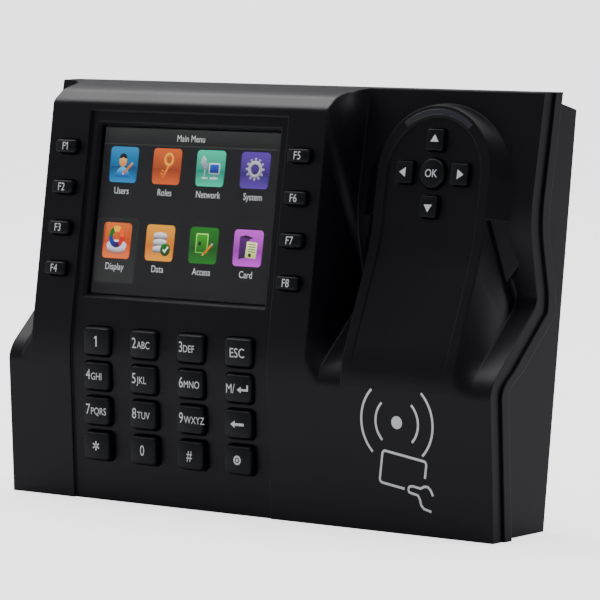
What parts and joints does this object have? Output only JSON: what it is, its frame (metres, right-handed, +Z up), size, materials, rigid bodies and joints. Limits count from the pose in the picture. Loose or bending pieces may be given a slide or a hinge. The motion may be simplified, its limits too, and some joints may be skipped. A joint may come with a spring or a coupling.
{
  "type": "access control terminal",
  "caption": "Wall or desk access terminal with a tilted display, numeric keypad, function keys, arrow pad on a raised tongue and a contactless card platform.",
  "frame": {"origin": "middle of the flat base", "axes": "+Z up; -Y is the side with the display and keys; +X is to the right of someone facing them"},
  "size_m": [0.1892, 0.0486, 0.1313],
  "materials": {
    "cover_plastic": "satin, moulded, near black",
    "housing_plastic": "satin, moulded, near black",
    "plug_plastic": "satin",
    "key_plastic": "satin",
    "plate_steel": "zinc plated",
    "screw_steel": "zinc plated",
    "window_glass": "clear, polished",
    "lcd_glass": "gloss",
    "lcd_metal": "satin",
    "lamp_plastic": "smoked, translucent",
    "led_plastic": "gloss",
    "mat_rubber": "matt silicone",
    "switch_plastic": "matt",
    "board_green": "solder mask",
    "coil_copper": "bare copper",
    "chip_plastic": "matt",
    "shield_metal": "tinned",
    "cell_metal": "bright",
    "can_metal": "satin",
    "terminal_plastic": "matt",
    "battery_wrap": "wrapped",
    "speaker_metal": "satin"
  },
  "bodies": {
    "casing": {"arrow_board": "board_green", "backup_battery": "battery_wrap", "board_chips": "chip_plastic", "board_screws": "screw_steel", "buzzer": "chip_plastic", "capacitors": "can_metal", "card_antenna": "coil_copper", "case_screws": "screw_steel", "clock_cell": "cell_metal", "display_window": "window_glass", "front_cover": "cover_plastic", "key_switches": "switch_plastic", "keypad_board": "board_green", "keypad_mat": "mat_rubber", "lcd_frame": "lcd_metal", "lcd_panel": "lcd_glass", "left_key_board": "board_green", "light_pipe": "lamp_plastic", "lock_screw": "screw_steel", "main_board": "board_green", "network_socket": "terminal_plastic", "radio_shield": "shield_metal", "reader_board": "board_green", "rear_housing": "housing_plastic", "right_key_board": "board_green", "side_plug": "plug_plastic", "speaker": "speaker_metal", "status_leds": "led_plastic", "terminal_block": "terminal_plastic", "wall_plate": "plate_steel"},
    "key_0_cap": {"key_0": "key_plastic"},
    "key_1_cap": {"key_1": "key_plastic"},
    "key_2_cap": {"key_2": "key_plastic"},
    "key_3_cap": {"key_3": "key_plastic"},
    "key_4_cap": {"key_4": "key_plastic"},
    "key_5_cap": {"key_5": "key_plastic"},
    "key_6_cap": {"key_6": "key_plastic"},
    "key_7_cap": {"key_7": "key_plastic"},
    "key_8_cap": {"key_8": "key_plastic"},
    "key_9_cap": {"key_9": "key_plastic"},
    "key_back_cap": {"key_back": "key_plastic"},
    "key_down_cap": {"key_down": "key_plastic"},
    "key_esc_cap": {"key_esc": "key_plastic"},
    "key_f1_cap": {"key_f1": "key_plastic"},
    "key_f2_cap": {"key_f2": "key_plastic"},
    "key_f3_cap": {"key_f3": "key_plastic"},
    "key_f4_cap": {"key_f4": "key_plastic"},
    "key_f5_cap": {"key_f5": "key_plastic"},
    "key_f6_cap": {"key_f6": "key_plastic"},
    "key_f7_cap": {"key_f7": "key_plastic"},
    "key_f8_cap": {"key_f8": "key_plastic"},
    "key_hash_cap": {"key_hash": "key_plastic"},
    "key_left_cap": {"key_left": "key_plastic"},
    "key_menu_cap": {"key_menu": "key_plastic"},
    "key_ok_cap": {"key_ok": "key_plastic"},
    "key_power_cap": {"key_power": "key_plastic"},
    "key_right_cap": {"key_right": "key_plastic"},
    "key_star_cap": {"key_star": "key_plastic"},
    "key_up_cap": {"key_up": "key_plastic"}
  },
  "joints": [
    {"name": "key_0_press", "type": "slide", "parent": "casing", "child": "key_0_cap", "axis": [0, 1, 0], "range_m": [0, 0.0012], "stiffness_N_per_m": 400},
    {"name": "key_1_press", "type": "slide", "parent": "casing", "child": "key_1_cap", "axis": [0, 1, 0], "range_m": [0, 0.0012], "stiffness_N_per_m": 400},
    {"name": "key_2_press", "type": "slide", "parent": "casing", "child": "key_2_cap", "axis": [0, 1, 0], "range_m": [0, 0.0012], "stiffness_N_per_m": 400},
    {"name": "key_3_press", "type": "slide", "parent": "casing", "child": "key_3_cap", "axis": [0, 1, 0], "range_m": [0, 0.0012], "stiffness_N_per_m": 400},
    {"name": "key_4_press", "type": "slide", "parent": "casing", "child": "key_4_cap", "axis": [0, 1, 0], "range_m": [0, 0.0012], "stiffness_N_per_m": 400},
    {"name": "key_5_press", "type": "slide", "parent": "casing", "child": "key_5_cap", "axis": [0, 1, 0], "range_m": [0, 0.0012], "stiffness_N_per_m": 400},
    {"name": "key_6_press", "type": "slide", "parent": "casing", "child": "key_6_cap", "axis": [0, 1, 0], "range_m": [0, 0.0012], "stiffness_N_per_m": 400},
    {"name": "key_7_press", "type": "slide", "parent": "casing", "child": "key_7_cap", "axis": [0, 1, 0], "range_m": [0, 0.0012], "stiffness_N_per_m": 400},
    {"name": "key_8_press", "type": "slide", "parent": "casing", "child": "key_8_cap", "axis": [0, 1, 0], "range_m": [0, 0.0012], "stiffness_N_per_m": 400},
    {"name": "key_9_press", "type": "slide", "parent": "casing", "child": "key_9_cap", "axis": [0, 1, 0], "range_m": [0, 0.0012], "stiffness_N_per_m": 400},
    {"name": "key_back_press", "type": "slide", "parent": "casing", "child": "key_back_cap", "axis": [0, 1, 0], "range_m": [0, 0.0012], "stiffness_N_per_m": 400},
    {"name": "key_down_press", "type": "slide", "parent": "casing", "child": "key_down_cap", "axis": [0, 0.9848, -0.1736], "range_m": [0, 0.0012], "stiffness_N_per_m": 400},
    {"name": "key_esc_press", "type": "slide", "parent": "casing", "child": "key_esc_cap", "axis": [0, 1, 0], "range_m": [0, 0.0012], "stiffness_N_per_m": 400},
    {"name": "key_f1_press", "type": "slide", "parent": "casing", "child": "key_f1_cap", "axis": [0, 0.9887, -0.1502], "range_m": [0, 0.0012], "stiffness_N_per_m": 400},
    {"name": "key_f2_press", "type": "slide", "parent": "casing", "child": "key_f2_cap", "axis": [0, 0.9887, -0.1502], "range_m": [0, 0.0012], "stiffness_N_per_m": 400},
    {"name": "key_f3_press", "type": "slide", "parent": "casing", "child": "key_f3_cap", "axis": [0, 0.9887, -0.1502], "range_m": [0, 0.0012], "stiffness_N_per_m": 400},
    {"name": "key_f4_press", "type": "slide", "parent": "casing", "child": "key_f4_cap", "axis": [0, 0.9887, -0.1502], "range_m": [0, 0.0012], "stiffness_N_per_m": 400},
    {"name": "key_f5_press", "type": "slide", "parent": "casing", "child": "key_f5_cap", "axis": [0, 0.9887, -0.1502], "range_m": [0, 0.0012], "stiffness_N_per_m": 400},
    {"name": "key_f6_press", "type": "slide", "parent": "casing", "child": "key_f6_cap", "axis": [0, 0.9887, -0.1502], "range_m": [0, 0.0012], "stiffness_N_per_m": 400},
    {"name": "key_f7_press", "type": "slide", "parent": "casing", "child": "key_f7_cap", "axis": [0, 0.9887, -0.1502], "range_m": [0, 0.0012], "stiffness_N_per_m": 400},
    {"name": "key_f8_press", "type": "slide", "parent": "casing", "child": "key_f8_cap", "axis": [0, 0.9887, -0.1502], "range_m": [0, 0.0012], "stiffness_N_per_m": 400},
    {"name": "key_hash_press", "type": "slide", "parent": "casing", "child": "key_hash_cap", "axis": [0, 1, 0], "range_m": [0, 0.0012], "stiffness_N_per_m": 400},
    {"name": "key_left_press", "type": "slide", "parent": "casing", "child": "key_left_cap", "axis": [0, 0.9848, -0.1736], "range_m": [0, 0.0012], "stiffness_N_per_m": 400},
    {"name": "key_menu_press", "type": "slide", "parent": "casing", "child": "key_menu_cap", "axis": [0, 1, 0], "range_m": [0, 0.0012], "stiffness_N_per_m": 400},
    {"name": "key_ok_press", "type": "slide", "parent": "casing", "child": "key_ok_cap", "axis": [0, 0.9848, -0.1736], "range_m": [0, 0.0012], "stiffness_N_per_m": 400},
    {"name": "key_power_press", "type": "slide", "parent": "casing", "child": "key_power_cap", "axis": [0, 1, 0], "range_m": [0, 0.0012], "stiffness_N_per_m": 400},
    {"name": "key_right_press", "type": "slide", "parent": "casing", "child": "key_right_cap", "axis": [0, 0.9848, -0.1736], "range_m": [0, 0.0012], "stiffness_N_per_m": 400},
    {"name": "key_star_press", "type": "slide", "parent": "casing", "child": "key_star_cap", "axis": [0, 1, 0], "range_m": [0, 0.0012], "stiffness_N_per_m": 400},
    {"name": "key_up_press", "type": "slide", "parent": "casing", "child": "key_up_cap", "axis": [0, 0.9848, -0.1736], "range_m": [0, 0.0012], "stiffness_N_per_m": 400}
  ]
}
